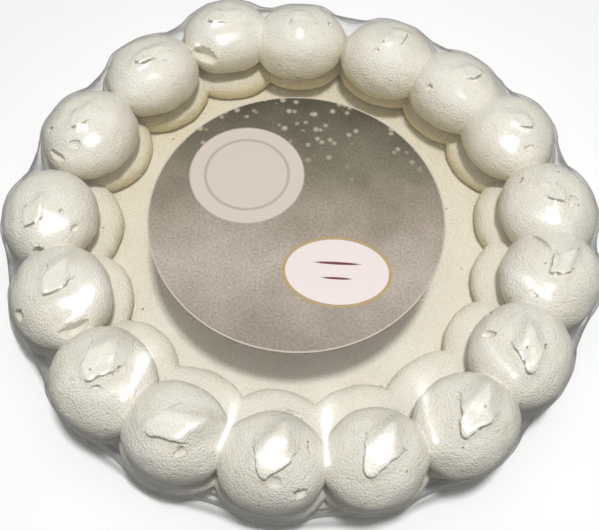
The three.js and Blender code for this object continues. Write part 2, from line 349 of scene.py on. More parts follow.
# %% [markdown]
# ## The disc under the mounds
#
# The disc is piped as a flat coil that closes up in the oven, so only its edge is round. It could be
# a squashed cylinder, but a profile turned round its axis gives that edge directly, and a fine grid
# lets its top take the unevenness that all of the crust gets later.

# %% The disc
forms = bpy.data.collections.new("forms_of_the_nest")
scars = bpy.data.collections.new("scars_in_the_crust")
for helper_collection in (forms, scars):
    bpy.context.scene.collection.children.link(helper_collection)


def turned(name, profile, sides, centre, collection=None):
    """A closed form from a profile of (radius, height), turned round an upright axis at centre."""
    rings = profile[1:-1]
    angles = np.linspace(0, 2 * math.pi, sides, endpoint=False)
    points = [(r * math.cos(a), r * math.sin(a), z) for r, z in rings for a in angles]
    points += [(0, 0, profile[0][1]), (0, 0, profile[-1][1])]
    faces = capped_grid(len(rings), sides)
    return make_object(name, np.array(points) + (*centre, 0), faces, collection)


def disc_profile(step=3.0, arc_points=5):
    """From the middle of the underside, round the edge, to the middle of the top."""
    radius, top, edge = DISC["radius"], DISC["thickness"], DISC["edge_round"]
    flat = np.arange(0, radius - edge, step)
    arc = np.radians(np.linspace(0, 90, arc_points))
    below = [(radius - edge + edge * math.sin(a), edge - edge * math.cos(a)) for a in arc]
    above = [(radius - edge + edge * math.cos(a), top - edge + edge * math.sin(a)) for a in arc]
    underside = [(r, 0.0) for r in flat[::6]]
    return underside + below + above + [(r, top) for r in flat[::-1]]


disc = turned("disc", disc_profile(), 160, (0, DISC["back"]), forms)
print("disc:", len(disc.data.polygons), "faces")

# %% [markdown]
# ## The beaks
#
# When the nozzle is drawn away, it pulls a small pointed tongue out of the top of each mound, which
# falls to one side. Faint ridges run down from its start, and it ends in a V-shaped lip that stands
# clear with a shadow under its edge. Each is its own closed leaf: its back and sides run out just
# under the dome, its lip is thin and stands clear, and its root is sunk in the dome, ready to be
# joined to it.

# %% The sizes of a beak
# The outline: a V of this half-angle that rounds off to this half-width, with ragged sides. The leaf
# reaches back past the mound's middle, where it narrows and bends to one side.
OUTLINE = {
    "half_width": 9.5, "half_angle": 44.0, "least": 0.4, "ragged": 0.5, "waves": 13.0, "back": 21.5,
    "narrowing": 0.7, "bend": 3.0,
}
# The heights: the lip stands clear at the tip and fades into the dome between two distances behind
# it. From there the leaf climbs to its peak, with a ridge along either side, and falls off beyond.
RISE = {
    "lip": 1.6, "lip_width": 3.5, "tip": 0.6, "tip_length": 4.0, "fade": (7.0, 13.0),
    "fade_skew": 1.5, "peak_behind": 21.0, "near_peak": 3.6, "far_peak": 2.2, "climb": 1.4,
    "ridge": 0.4, "ridge_width": 1.3, "fall_off": 4.0, "sunk": 0.45,
}
# The thickness at its edge, the depth of its root, and how far in from the edge the root is full.
THICKNESS = {"edge": 0.9, "root": 5.0, "root_in": 3.2}
GROOVE = {"depth": 1.0, "least": 0.1, "out": 0.5}
SMALLEST_BEAK, LARGEST_BEAK = 0.6, 1.05
LEAF_ROWS, LEAF_COLUMNS = 36, 19

# %% The beaks
def dome_height(x, y, radius):
    """Height of an upper mound's dome above its widest place."""
    share = np.minimum(1, np.hypot(x, y) / radius) ** (2 / UPPER["fullness"])
    return UPPER["half_height"] * (1 - share) ** (UPPER["fullness"] / 2)


def leaf(radius, reach, size, peak, rng):
    """Points and faces of one beak, along +X, from the mound's middle."""
    along, across = np.meshgrid(
        np.linspace(0, 1, LEAF_ROWS), np.linspace(-1, 1, LEAF_COLUMNS), indexing="ij")
    phase = rng.uniform(0, 2 * math.pi, 6)
    length = (reach + OUTLINE["back"]) / size
    behind = length * (1 - along)
    half_angle = math.radians(OUTLINE["half_angle"])
    opening = behind * math.tan(half_angle)
    width = OUTLINE["half_width"] * (1 - np.exp(-opening / OUTLINE["half_width"]))
    width *= 1 - OUTLINE["narrowing"] * smooth_step(0.6, 1, 1 - along)
    side = np.where(across < 0, phase[0], phase[1])
    wobble = sum(
        np.sin(along * OUTLINE["waves"] * i + side + phase[i]) / i for i in range(1, 5))
    width += OUTLINE["least"] + OUTLINE["ragged"] * wobble * smooth_step(0.2, 0.6, along)
    sideways = across * width
    bent = OUTLINE["bend"] * math.sin(phase[5]) * (behind / length) ** 2
    x, y = reach - size * behind, size * (sideways + bent)

    inside = (1 - np.abs(across)) * width * math.cos(half_angle)
    skewed = behind + RISE["fade_skew"] * math.sin(phase[2]) * across
    lip = 1 - smooth_step(*RISE["fade"], skewed)
    tip = np.exp(-((behind / RISE["tip_length"]) ** 2))
    to_peak = np.minimum(1, behind / RISE["peak_behind"])
    past_peak = np.maximum(0, behind - RISE["peak_behind"])
    from_ridge = np.abs(sideways) - OUTLINE["half_width"] * 0.8 * (1 - to_peak)
    beside = np.exp(-((np.maximum(0, from_ridge) / RISE["fall_off"]) ** 1.5))
    slope = RISE["tip"] + (peak - RISE["tip"]) * to_peak ** RISE["climb"]
    body = slope * (lip + (1 - lip) * beside)
    ridge = RISE["ridge"] * (1 - lip) * np.exp(-((from_ridge / RISE["ridge_width"]) ** 2))
    beyond = np.exp(-((past_peak / RISE["fall_off"]) ** 1.5))
    rise = (body + ridge) * beyond - RISE["sunk"] * (1 - lip)
    rise += RISE["lip"] * lip * np.exp(-((inside / RISE["lip_width"]) ** 2)) * (0.6 + 0.4 * tip)
    over = dome_height(x, y, radius) + size * rise
    root = smooth_step(0, THICKNESS["root_in"], inside)
    under = over - size * (THICKNESS["edge"] + THICKNESS["root"] * root)
    count = over.size
    quads = [
        (r * LEAF_COLUMNS + c, (r + 1) * LEAF_COLUMNS + c,
         (r + 1) * LEAF_COLUMNS + c + 1, r * LEAF_COLUMNS + c + 1)
        for r in range(LEAF_ROWS - 1) for c in range(LEAF_COLUMNS - 1)
    ]
    faces = quads + [tuple(i + count for i in reversed(quad)) for quad in quads]
    rim = list(range(LEAF_COLUMNS))
    rim += [r * LEAF_COLUMNS + LEAF_COLUMNS - 1 for r in range(1, LEAF_ROWS)]
    rim += [(LEAF_ROWS - 1) * LEAF_COLUMNS + c for c in reversed(range(LEAF_COLUMNS - 1))]
    rim += [r * LEAF_COLUMNS for r in reversed(range(1, LEAF_ROWS - 1))]
    faces += [(a, b, b + count, a + count) for a, b in zip(rim, rim[1:] + rim[:1])]
    layers = [np.stack([x, y, z], -1).reshape(-1, 3) for z in (over, under)]
    at_lip = behind[:, 0] < RISE["fade"][1]
    edge = [np.stack([x[:, c], y[:, c]], -1)[at_lip] for c in (0, -1)]
    return np.vstack(layers), faces, np.vstack([edge[0], edge[1][::-1]])


def groove(edge, radius, size, sides=10, rings=40):
    """Points and faces of the hollow that runs along under a lip, from the lip's edge."""
    steps = np.concatenate([[0], np.cumsum(np.linalg.norm(np.diff(edge, axis=0), axis=1))])
    at = np.linspace(0, steps[-1], rings)
    path = np.stack([np.interp(at, steps, edge[:, i]) for i in (0, 1)], -1)
    path[2:-2] = sum(path[i:rings - 4 + i] for i in range(5)) / 5
    heading = np.gradient(path, axis=0)
    heading /= np.linalg.norm(heading, axis=1)[:, None]
    outward = np.stack([-heading[:, 1], heading[:, 0]], -1)
    share = np.sin(np.linspace(0, math.pi, rings)) ** 0.6
    thick = GROOVE["least"] + GROOVE["depth"] * share
    path = path + outward * GROOVE["out"] * size
    turn = np.linspace(0, 2 * math.pi, sides, endpoint=False)
    sideways, upwards = np.outer(thick, np.cos(turn)), np.outer(thick, np.sin(turn))
    places = path[:, None] + outward[:, None] * sideways[..., None]
    heights = dome_height(path[:, 0], path[:, 1], radius)[:, None] + upwards
    points = np.concatenate([places, heights[..., None]], -1).reshape(-1, 3)
    ends = np.array([[*path[i], heights[i].mean()] for i in (0, -1)])
    return np.vstack([points, ends]), capped_grid(rings, sides)


def turned_about_z(points, degrees):
    """Points turned round the upright axis."""
    c, s = math.cos(math.radians(degrees)), math.sin(math.radians(degrees))
    return points @ np.array([[c, s, 0], [-s, c, 0], [0, 0, 1]])


SEED = 17
rng = np.random.default_rng(SEED)
for number, (centre, (_, _, radius, beak_to, reach)) in enumerate(zip(upper_centres, MOUNDS)):
    nearness = smooth_step(-0.2, 0.9, -centre[1] / RING_RADIUS)
    size = SMALLEST_BEAK + (LARGEST_BEAK - SMALLEST_BEAK) * nearness
    peak = RISE["far_peak"] + (RISE["near_peak"] - RISE["far_peak"]) * nearness
    size *= rng.uniform(0.94, 1.06)
    *beak, edge = leaf(radius, reach, size, peak, rng)
    for name, (points, faces), collection in (
        ("beak", beak, forms), ("groove", groove(edge, radius, size), scars),
    ):
        points = turned_about_z(points, beak_to) @ mound_shape(centre) + centre
        make_object(f"{name}_{number}", points, faces, collection)

# %% [markdown]
# ## Scars and pits
#
# Burst bubbles, knocks and fingers leave holes in the crust. Each is cut with a small uneven ball,
# because a cut has the crisp edge that a broken crust has, which pushing the surface in can't give.

# %% Scars and pits
# The mound, the compass angle round it, the slope above its widest place, and the half-length along
# the crust, half-height and half-depth.
SCARS = [
    (0, 5, 50, (1.1, 1.1, 0.9)), (1, -135, 63, (1, 1, 0.8)), (2, -155, 45, (1.2, 1, 0.9)),
    (3, -65, 50, (2, 1.2, 0.8)), (4, -20, 72, (3, 1.8, 2.2)), (4, 150, 41, (1, 0.8, 0.6)),
    (5, -135, 45, (1.6, 1.2, 1.2)), (5, 120, 59, (1.2, 7, 1.6)), (6, 160, 41, (1.5, 3, 1.6)),
    (6, 130, 11, (1.2, 2.5, 1)), (7, 125, 59, (1.1, 0.9, 0.8)), (9, -85, 63, (2.6, 2.2, 1.1)),
    (9, -50, 39, (2.6, 1.7, 1.5)), (9, 20, 45, (2.6, 0.6, 0.7)), (10, -65, 60, (2.4, 1.6, 1)),
    (10, -15, 59, (0.9, 0.8, 0.7)), (11, -150, 65, (1.3, 0.8, 0.9)), (11, -80, 72, (2, 0.9, 0.9)),
    (11, -25, 45, (2.2, 1.2, 0.8)), (12, -58, 33, (6.0, 3.2, 4)), (12, -140, 37, (2.4, 2.2, 1.6)),
    (13, -88, 30, (2.2, 2.2, 3)), (13, -30, 39, (1.8, 1.2, 1.2)), (13, -20, 63, (0.8, 0.7, 0.7)),
    (14, -120, 31, (3.6, 1.9, 2)), (14, -95, 52, (2.4, 1.8, 1)), (14, -160, 45, (1.2, 1, 1)),
    (15, 15, 63, (1, 0.8, 0.7)), (15, -20, 68, (0.9, 0.9, 0.7)), (16, -116, 24, (6.5, 3.2, 3.4)),
]
UNEVENNESS = {"waves": 5, "pitch": 1.6, "share": 0.09}


def lumpy_ball(size, rng, segments=28, rings=16):
    """Points and faces of an uneven ellipsoid round the origin."""
    lat = np.radians(np.linspace(-90, 90, rings + 1))[1:-1]
    lon = np.linspace(0, 2 * math.pi, segments, endpoint=False)
    unit = np.array([(math.cos(a) * math.cos(b), math.cos(a) * math.sin(b), math.sin(a))
                     for a in lat for b in lon] + [(0, 0, -1), (0, 0, 1)])
    waves = rng.normal(0, UNEVENNESS["pitch"], (UNEVENNESS["waves"], 3))
    wobble = sum(np.sin(unit @ wave + phase) for phase, wave in enumerate(waves))
    lumps = 1 + UNEVENNESS["share"] * wobble
    return unit * lumps[:, None] * size, capped_grid(len(lat), segments)


def on_crust(mound, compass, slope):
    """A place on an upper mound's crust, and the directions across, up and out there."""
    out = polar(compass, math.cos(math.radians(slope)), math.sin(math.radians(slope)))
    radius, centre = MOUNDS[mound, 2], upper_centres[mound]
    place = (out * (radius, radius, UPPER["half_height"])) @ mound_shape(centre) + centre
    across = np.cross((0, 0, 1), out)
    across /= np.linalg.norm(across)
    return place, np.array([across, np.cross(out, across), out])


for number, (mound, compass, slope, size) in enumerate(SCARS):
    place, directions = on_crust(mound, compass, slope)
    points, faces = lumpy_ball(size, rng)
    make_object(f"scar_{number}", points @ directions + place, faces, scars)

# %% [markdown]
# ## The nest
#
# The mounds repeat, so Geometry Nodes place one squashed ball on a point for each. A superellipse,
# squarer than an ellipse, gives the slump of piped meringue. Then everything is joined, because
# mounds that touch in the oven bake together with a crisp crease between them, and the scars are cut.
# Last, a slow noise and a quick one bend the whole a little, so no two mounds are alike. Doing that
# after the join keeps the creases closed.

# %% Geometry Nodes: one mound
# Keeps a ball's poles, which lie on its axis, out of a division by zero.
NEARLY_ZERO = 1e-4


def squashed_ball(tree, given, tier):
    """A ball of radius 1 made a superellipse, with its lower half as shallow as the tier asks."""
    fullness = given[f"{tier} fullness"]
    ball = add(tree, "GeometryNodeMeshUVSphere", {
        "Segments": given[f"{tier} sides"], "Rings": given[f"{tier} rings"], "Radius": 1.0,
    })
    place = add(tree, "GeometryNodeInputPosition").outputs[0]
    flat = vector_maths(tree, "MULTIPLY", place, (1, 1, 0))
    away = maths(tree, "MAXIMUM", vector_maths(tree, "LENGTH", flat), NEARLY_ZERO)
    spread = maths(tree, "POWER", away, maths(tree, "SUBTRACT", fullness, 1.0))
    height = add(tree, "ShaderNodeSeparateXYZ", {0: place}).outputs["Z"]
    power = maths(tree, "POWER", maths(tree, "ABSOLUTE", height), fullness)
    full = maths(tree, "MULTIPLY", power, maths(tree, "SIGN", height))
    shallow = maths(tree, "MULTIPLY", full, given[f"{tier} underside"])
    upright = add(tree, "ShaderNodeCombineXYZ", {"Z": maths(tree, "MAXIMUM", full, shallow)})
    wide = vector_maths(tree, "SCALE", flat, spread)
    return add(tree, "GeometryNodeSetPosition", {
        "Geometry": ball.outputs["Mesh"],
        "Position": vector_maths(tree, "ADD", wide, upright.outputs[0]),
    }).outputs[0]

# %% Geometry Nodes: the crust's unevenness
# Below this height the crust stays as it is, so that the nest stands flat.
FOOT_MM = 4.0


def uneven_offset(tree, given):
    """How far each point of the crust moves: slow lumps and quick ones, and none at the foot."""
    place = add(tree, "GeometryNodeInputPosition").outputs[0]
    bend = []
    for part in ("Slow", "Quick"):
        noise = add(tree, "ShaderNodeTexNoise", {
            "Vector": place, "W": given["Seed"], "Detail": 1,
            "Scale": maths(tree, "DIVIDE", 1.0, given[f"{part} lumps"]),
        }, noise_dimensions="4D")
        even = vector_maths(tree, "SUBTRACT", noise.outputs["Color"], (0.5, 0.5, 0.5))
        bend.append(vector_maths(tree, "SCALE", even, given[f"{part} height"]))
    height = add(tree, "ShaderNodeSeparateXYZ", {0: place}).outputs["Z"]
    held = remapped(tree, height, 0, FOOT_MM * MM)
    return vector_maths(tree, "SCALE", vector_maths(tree, "ADD", *bend), held)

# %% Geometry Nodes: the piped nest
def tree_input(tree, name, kind, value=None):
    """A named input of a Geometry Nodes tree, and what it is set to."""
    socket = tree.interface.new_socket(name, in_out="INPUT", socket_type=kind)
    return socket.identifier, value


def mounds_of(tree, given, tier):
    """A ball on each point of the tier, sized and turned by the point's attributes."""
    is_tier = add(tree, "GeometryNodeInputNamedAttribute", {"Name": tier.lower()},
                  data_type="BOOLEAN")
    scale, angles = (
        add(tree, "GeometryNodeInputNamedAttribute", {"Name": name}, data_type="FLOAT_VECTOR")
        for name in ("half_size", "turn")
    )
    turn = add(tree, "FunctionNodeEulerToRotation", {0: angles.outputs[0]})
    return add(tree, "GeometryNodeInstanceOnPoints", {
        "Points": given["Mounds"], "Selection": is_tier.outputs[0],
        "Instance": squashed_ball(tree, given, tier), "Rotation": turn.outputs[0],
        "Scale": scale.outputs[0],
    })


def piped_nest(values):
    """The tree, and its inputs' values by identifier."""
    tree = bpy.data.node_groups.new("piped_nest", "GeometryNodeTree")
    tree.interface.new_socket("Nest", in_out="OUTPUT", socket_type="NodeSocketGeometry")
    tree_input(tree, "Mounds", "NodeSocketGeometry")
    settings = dict(tree_input(tree, name, kind, value) for name, kind, value in values)
    given = add(tree, "NodeGroupInput").outputs

    others, cuts = (
        add(tree, "GeometryNodeCollectionInfo", {
            "Collection": given[name], "Separate Children": True,
        }) for name in ("Other forms", "Scars")
    )
    union = add(tree, "GeometryNodeMeshBoolean", operation="UNION", solver="MANIFOLD")
    for form in (mounds_of(tree, given, "Lower"), mounds_of(tree, given, "Upper"), others):
        tree.links.new(form.outputs[0], union.inputs["Mesh"])
    cut = add(tree, "GeometryNodeMeshBoolean", {0: union.outputs[0], 1: cuts.outputs[0]},
              operation="DIFFERENCE", solver="MANIFOLD")
    uneven = add(tree, "GeometryNodeSetPosition", {
        "Geometry": cut.outputs[0], "Offset": uneven_offset(tree, given),
    })
    smooth = add(tree, "GeometryNodeSetShadeSmooth", {"Geometry": uneven.outputs[0]})
    real = add(tree, "GeometryNodeRealizeInstances", {0: smooth.outputs[0]})
    done = add(tree, "GeometryNodeSetMaterial", {
        "Geometry": real.outputs[0], "Material": given["Material"],
    })
    add(tree, "NodeGroupOutput", {"Nest": done.outputs[0]})
    return tree, settings


def modelled_by_nodes(obj, tree, settings):
    """The object with its Geometry Nodes turned into a plain mesh."""
    modifier = obj.modifiers.new("nodes", "NODES")
    modifier.node_group = tree
    for identifier, value in settings.items():
        modifier[identifier] = value
    depsgraph = bpy.context.evaluated_depsgraph_get()
    mesh = bpy.data.meshes.new_from_object(obj.evaluated_get(depsgraph))
    obj.modifiers.remove(modifier)
    obj.data = mesh
    return obj

# %% The nest
nest = make_object("meringue_nest", np.vstack([lower_centres, upper_centres]), [])
is_upper = np.arange(2 * COUNT) >= COUNT
half_sizes = np.array([(LOWER["radius"],) * 2 + (LOWER["half_height"],)] * COUNT
                      + [(radius * UPPER["depth"], radius, UPPER["half_height"])
                         for radius in MOUNDS[:, 2]]) * MM
nest.data.attributes.new("half_size", "FLOAT_VECTOR", "POINT").data.foreach_set(
    "vector", half_sizes.ravel())
turns = np.array([(0, 0, 0)] * COUNT + [mound_turn(c).to_euler() for c in upper_centres])
nest.data.attributes.new("turn", "FLOAT_VECTOR", "POINT").data.foreach_set(
    "vector", turns.ravel())
nest.data.attributes.new("upper", "BOOLEAN", "POINT").data.foreach_set("value", is_upper)
nest.data.attributes.new("lower", "BOOLEAN", "POINT").data.foreach_set("value", ~is_upper)

tree, settings = piped_nest([
    ("Upper sides", "NodeSocketInt", 84), ("Upper rings", "NodeSocketInt", 42),
    ("Lower sides", "NodeSocketInt", 64), ("Lower rings", "NodeSocketInt", 26),
    ("Upper underside", "NodeSocketFloat", UPPER["underside"] / UPPER["half_height"]),
    ("Lower underside", "NodeSocketFloat", 1.0),
    ("Upper fullness", "NodeSocketFloat", UPPER["fullness"]),
    ("Lower fullness", "NodeSocketFloat", LOWER["fullness"]), ("Seed", "NodeSocketFloat", 1.0),
    ("Slow lumps", "NodeSocketFloat", 26 * MM), ("Slow height", "NodeSocketFloat", 3.0 * MM),
    ("Quick lumps", "NodeSocketFloat", 7 * MM), ("Quick height", "NodeSocketFloat", 1.2 * MM),
    ("Other forms", "NodeSocketCollection", forms), ("Scars", "NodeSocketCollection", scars),
    ("Material", "NodeSocketMaterial", MERINGUE),
])
nest = modelled_by_nodes(nest, tree, settings)
for helper_collection in (forms, scars):
    for obj in list(helper_collection.objects):
        bpy.data.objects.remove(obj)
    bpy.data.collections.remove(helper_collection)
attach(nest, "root")
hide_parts("meringue")
nest.data.calc_loop_triangles()
print("nest:", len(nest.data.loop_triangles), "triangles")

# %% [markdown]
# ## The film's surface
#
# Shrink film is a clear plastic, often polyolefin, made as a thin sheet and pulled tight with hot
# air. It lets the light through and shows itself only by its reflections, which grow towards the
# edges as Fresnel's law says, with a trace of haze. A clear mix does that, and its two faces each
# give their own reflection, as the real ones do. The light isn't bent in so thin a sheet, so a ray
# that leaves it by its back meets the same Fresnel's law as one that enters, and the index is turned
# over there.

# %% Material: clear shrink film
FILM_IOR = 1.5
FILM_HAZE = 0.015
FILM_ROUGHNESS = 0.23
RIPPLE_MM, RIPPLE_DEPTH_MM = 6.0, 0.15


def clear_film():
    """Blown and heat-shrunk plastic: clear, glossy, a trace of haze."""
    material = bpy.data.materials.new("clear_polyolefin_film_heat_shrunk")
    material.use_nodes = True
    tree = material.node_tree
    tree.nodes.remove(tree.nodes["Principled BSDF"])
    clear = add(tree, "ShaderNodeBsdfTransparent", {"Color": linear("#ffffff")})
    haze = add(tree, "ShaderNodeBsdfDiffuse", {"Color": linear("#ffffff")})
    body = add(tree, "ShaderNodeMixShader", {0: FILM_HAZE, 1: clear.outputs[0], 2: haze.outputs[0]})
    place = add(tree, "ShaderNodeTexCoord").outputs["Object"]
    ripple = add(tree, "ShaderNodeTexNoise", {
        "Vector": place, "Scale": 1 / (RIPPLE_MM * MM), "Detail": 2,
    })
    bump = add(tree, "ShaderNodeBump", {
        "Height": ripple.outputs["Fac"], "Distance": RIPPLE_DEPTH_MM * MM, "Strength": 0.5,
    })
    gloss = add(tree, "ShaderNodeBsdfGlossy", {
        "Color": linear("#ffffff"), "Roughness": FILM_ROUGHNESS, "Normal": bump.outputs[0],
    })
    behind = add(tree, "ShaderNodeNewGeometry").outputs["Backfacing"]
    index = remapped(tree, behind, 0, 1, FILM_IOR, 1 / FILM_IOR)
    fresnel = add(tree, "ShaderNodeFresnel", {"IOR": index, "Normal": bump.outputs[0]})
    film = add(tree, "ShaderNodeMixShader", {
        0: fresnel.outputs[0], 1: body.outputs[0], 2: gloss.outputs[0],
    })
    tree.links.new(film.outputs[0], tree.nodes["Material Output"].inputs["Surface"])
    return material


FILM_CLEAR = clear_film()
print("made", FILM_CLEAR.name)

# %% [markdown]
# ## The film shrinks on to the nest
#
# A cloth simulation could shrink the film, but it is slow and never quite settles. This is the same
# idea reduced to its core: every point of the film slides only along its own line towards the nest.
# At each step it moves to the middle of its four neighbours, as a stretched skin does, a trace
# further where the hot air has shrunk it into the gaps, and it stops where a ray says that the crust
# begins. The neighbours across the rim pull harder than those along it, and going a little past the
# middle each time makes it settle in a few hundred steps.

# %% The film's lines
# The film has so many columns and rows of points, which start the reach away. Its hem lies a gap off
# the disc, and its middle is a flat drum whose rim is just within the card's edge. Its points stop
# the gap short of the crust, but between points the lips of a few beaks reach up to 0.2 mm through.
# The pull across the rim is counted against that along it, and the overshoot past the neighbours'
# middle is what settles it. Hot air draws it in by tight at each step, none of that within the first
# radius and all of it beyond the second.
FILM = {
    "columns": 374, "side_rows": 30, "shoulder_rows": 34, "top_rows": 26, "reach": 60.0,
    "hem": 1.5, "hem_gap": 1.0, "drum": 40.9, "gap": 0.35, "thickness": 0.12, "rim": -2.0,
    "steps": 700, "overshoot": 1.85, "pull": 2.2, "tight": 0.045, "tight_from": 78.0,
    "tight_to": 98.0,
}


def film_lines():
    """Where each point of the film starts and which way it slides, row by row from the hem up."""
    turns = np.linspace(0, 2 * math.pi, FILM["columns"], endpoint=False)
    ring = np.stack([np.cos(turns), np.sin(turns), 0 * turns], -1)
    up = np.array([0.0, 0.0, 1.0])
    rim = CARD["radius"] + FILM["rim"]
    starts, inwards = [], []
    for height in np.linspace(FILM["hem"], UPPER["middle"], FILM["side_rows"] + 1)[:-1]:
        starts.append(ring * (RING_RADIUS + FILM["reach"]) + up * height)
        inwards.append(-ring)
    for slope in np.radians(np.linspace(0, 90, FILM["shoulder_rows"] + 1)):
        out = ring * math.cos(slope) + up * math.sin(slope)
        starts.append(ring * RING_RADIUS + up * UPPER["middle"] + out * FILM["reach"])
        inwards.append(-out)
    for radius in np.linspace(RING_RADIUS, rim, FILM["top_rows"] + 1)[1:]:
        starts.append(ring * radius + up * (UPPER["middle"] + FILM["reach"]))
        inwards.append(ring * 0 - up)
    return np.array(starts), np.array(inwards), ring


starts, inwards, ring = film_lines()
print("film:", starts.shape[0], "rows of", starts.shape[1])

# %% Where the crust stops it
NO_CRUST = 1e6


def slide_limits(obj):
    """How far each point may slide before it meets the crust, less the gap."""
    vertices = np.empty(len(obj.data.vertices) * 3)
    obj.data.vertices.foreach_get("co", vertices)
    vertices = vertices.reshape(-1, 3) / MM - RING_MIDDLE
    crust = BVHTree.FromPolygons(vertices.tolist(), [p.vertices[:] for p in obj.data.polygons])
    limits = np.full(starts.shape[:2], NO_CRUST)
    for index in np.ndindex(limits.shape):
        hit = crust.ray_cast(Vector(starts[index]), Vector(inwards[index]))
        if hit[0] is not None:
            limits[index] = hit[3] - FILM["gap"]
    beside = np.minimum(np.roll(limits, 1, 1), np.roll(limits, -1, 1))
    return np.minimum(limits, beside)


limits = slide_limits(nest)
print("crust met by", round(float((limits < NO_CRUST).mean()), 2), "of the film's lines")

# %% Shrink it
def shrunk(starts, inwards, limits):
    """The film's points once it has settled."""
    slide = np.zeros(limits.shape)
    places = starts.copy()
    places[0] = ring * (DISC["radius"] + FILM["hem_gap"]) + (0, DISC["back"], FILM["hem"])
    rim = ring * (CARD["radius"] + FILM["rim"])
    places[-1] = rim + (*CARD["centre"], FILM["drum"])
    parity = np.add.outer(np.arange(limits.shape[0]), np.arange(limits.shape[1])) % 2
    moving = np.ones(limits.shape, bool)
    moving[[0, -1]] = False
    radius = np.hypot(starts[..., 0], starts[..., 1])
    above = smooth_step(0, FILM["reach"] / 2, starts[..., 2] - UPPER["middle"])
    tight = FILM["tight"] * above * smooth_step(FILM["tight_from"], FILM["tight_to"], radius)
    for _ in range(FILM["steps"]):
        for colour in (0, 1):
            around = np.roll(places, 1, 1) + np.roll(places, -1, 1)
            around[1:-1] += FILM["pull"] * (places[:-2] + places[2:])
            wanted = ((around / (2 + 2 * FILM["pull"]) - starts) * inwards).sum(-1) + tight
            nearer = np.minimum(slide + FILM["overshoot"] * (wanted - slide), limits)
            chosen = moving & (parity == colour)
            slide[chosen] = nearer[chosen]
            places[chosen] = (starts + slide[..., None] * inwards)[chosen]
    return places


inner = shrunk(starts, inwards, limits)
print("film's highest point", inner[..., 2].max().round(2), "mm")

# %% The film as a closed thin skin
def thin_skin(name, inner, outwards):
    """The surface and the same surface a thickness further out, joined round the hem."""
    rows, columns = inner.shape[:2]
    outer = inner + outwards * FILM["thickness"]
    middle = np.array([[*CARD["centre"], FILM["drum"]]])
    layer = rows * columns + 1
    points = np.vstack([inner.reshape(-1, 3), middle,
                        outer.reshape(-1, 3), middle + (0, 0, FILM["thickness"])])
    top = (rows - 1) * columns
    facing_out = closed_grid(rows, columns)
    facing_out += [(top + c, top + (c + 1) % columns, layer - 1) for c in range(columns)]
    faces = [tuple(i + layer for i in face) for face in facing_out]
    faces += [face[::-1] for face in facing_out]
    faces += [((c + 1) % columns, c, c + layer, (c + 1) % columns + layer) for c in range(columns)]
    return make_object(name, points, faces)


outwards = -inwards
outwards[0] = ring
film = thin_skin("shrink_film", inner, outwards)
film.data.materials.append(FILM_CLEAR)
film.data.shade_smooth()
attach(film, "root")
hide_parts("film")
film.data.calc_loop_triangles()
print("film:", len(film.data.loop_triangles), "triangles")

# %% [markdown]
# ## The card
#
# The card is thin board, printed in soft colours and cut round. Its print is built of fields of
# colour and simple shapes, worked out in the shader, so it stays sharp at any size: grainy taupe and
# olive with pale dots, a blush panel in a thin gold ring, and maroon rules.

# %% Material: printed card
# How many of each fit in the card's radius: clouds of 23 mm, a grain of 1 mm, dots 4.6 mm apart.
CLOUDS, GRAINS, DOTS = 2.6, 60.0, 13.0


def shape_mask(tree, place, centre, half_sizes, inside=0.0, soft=0.02):
    """1 inside an ellipse, 0 outside it; with inside above 0, only its outer ring."""
    scaled = add(tree, "ShaderNodeMapping", {
        "Vector": place, "Location": (*centre, 0), "Scale": (*half_sizes, 1),
    }, vector_type="TEXTURE")
    distance = vector_maths(tree, "LENGTH", scaled.outputs[0])
    outer = remapped(tree, distance, 1 - soft, 1, 1, 0)
    if not inside:
        return outer
    return maths(tree, "MULTIPLY", outer, remapped(tree, distance, inside - soft, inside))


